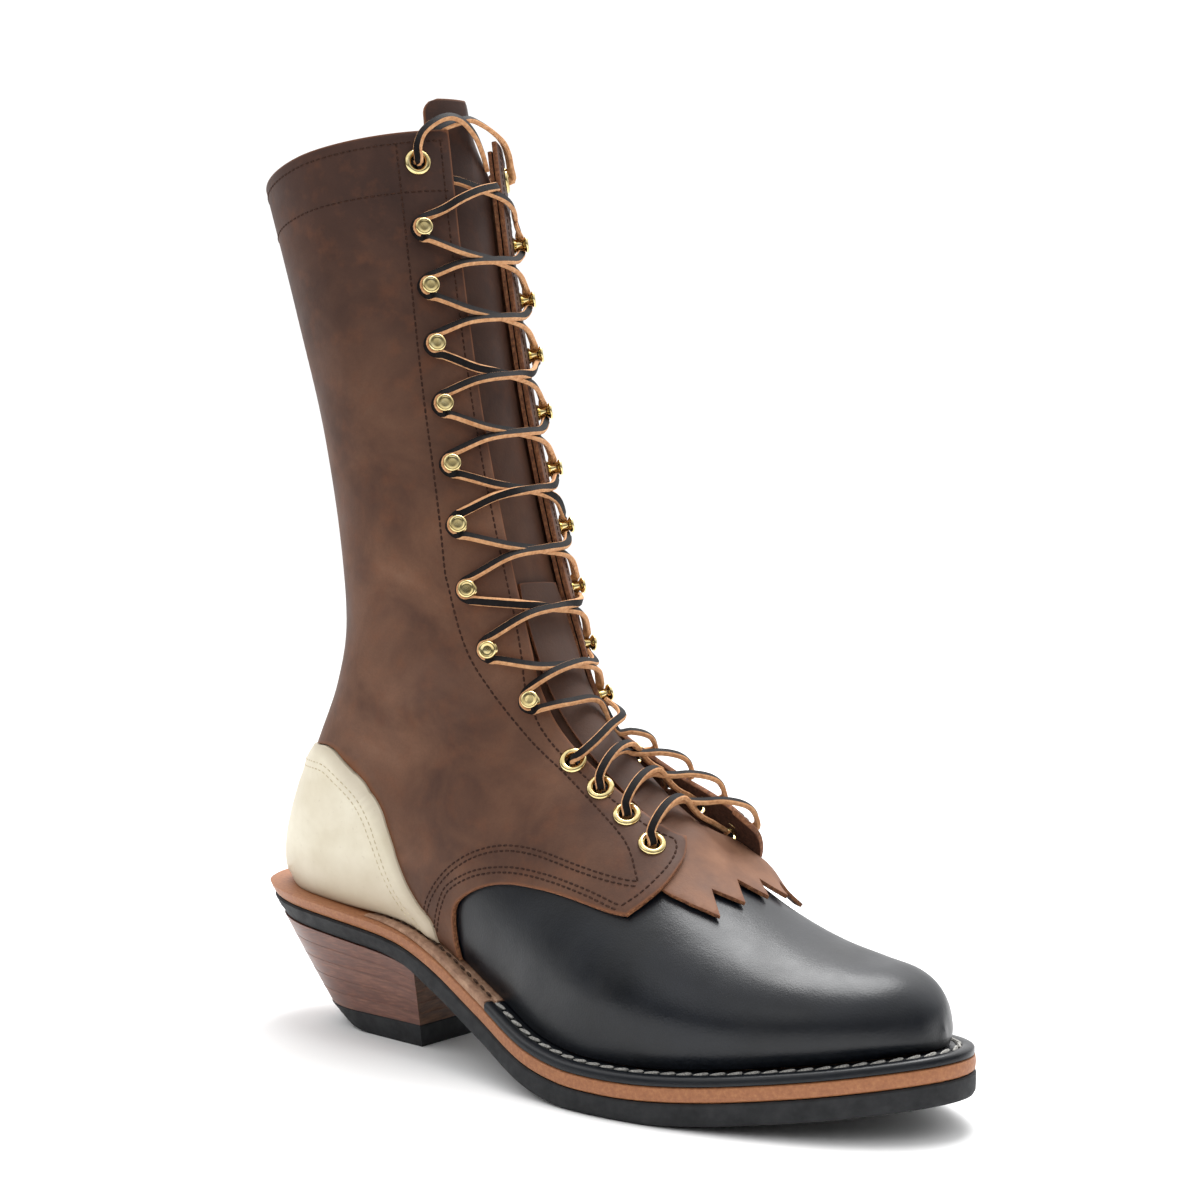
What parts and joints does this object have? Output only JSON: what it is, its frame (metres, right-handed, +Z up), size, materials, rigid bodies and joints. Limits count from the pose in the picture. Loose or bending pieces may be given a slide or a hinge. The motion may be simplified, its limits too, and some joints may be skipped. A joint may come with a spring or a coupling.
{
  "type": "packer boot",
  "caption": "Right-foot lace-up packer boot with a smooth vamp, tall two-tone shaft, fringed kiltie, heel counter, leather welt and high stacked heel.",
  "frame": {"origin": "on the floor, in the flat rest face of the heel, on the boot's long centre line", "axes": "+X towards the toe, +Y towards the medial (inner) side, +Z up"},
  "size_m": [0.316, 0.1096, 0.3702],
  "materials": {
    "outsole_rubber": "matte",
    "midsole_leather": "waxed edge",
    "welt_leather": "natural",
    "vamp_leather": "smooth oiled",
    "quarter_leather": "oiled pull-up",
    "counter_leather": "smooth",
    "stack_leather": "polished edge",
    "lace_leather": "flat cut",
    "brass": "aged"
  },
  "bodies": {
    "root": {"counter": "counter_leather", "eyelet_lateral_1": "brass", "eyelet_lateral_2": "brass", "eyelet_lateral_3": "brass", "eyelet_lateral_4": "brass", "eyelet_lateral_5": "brass", "eyelet_medial_1": "brass", "eyelet_medial_2": "brass", "eyelet_medial_3": "brass", "eyelet_medial_4": "brass", "eyelet_medial_5": "brass", "heel_cap": "outsole_rubber", "heel_lift_1": "stack_leather", "heel_lift_2": "stack_leather", "heel_lift_3": "stack_leather", "heel_lift_4": "stack_leather", "heel_lift_5": "stack_leather", "hook_lateral_1": "brass", "hook_lateral_2": "brass", "hook_lateral_3": "brass", "hook_lateral_4": "brass", "hook_lateral_5": "brass", "hook_lateral_6": "brass", "hook_lateral_7": "brass", "hook_lateral_8": "brass", "hook_lateral_9": "brass", "hook_medial_1": "brass", "hook_medial_2": "brass", "hook_medial_3": "brass", "hook_medial_4": "brass", "hook_medial_5": "brass", "hook_medial_6": "brass", "hook_medial_7": "brass", "hook_medial_8": "brass", "hook_medial_9": "brass", "insole": "welt_leather", "kiltie": "quarter_leather", "lace": "lace_leather", "lace_end_lateral": "lace_leather", "lace_end_medial": "lace_leather", "midsole": "midsole_leather", "outsole": "outsole_rubber", "quarter_lateral": "quarter_leather", "quarter_medial": "quarter_leather", "tongue": "quarter_leather", "upper": "vamp_leather", "waist_welt_lateral": "welt_leather", "waist_welt_medial": "welt_leather", "welt": "vamp_leather"}
  },
  "joints": []
}
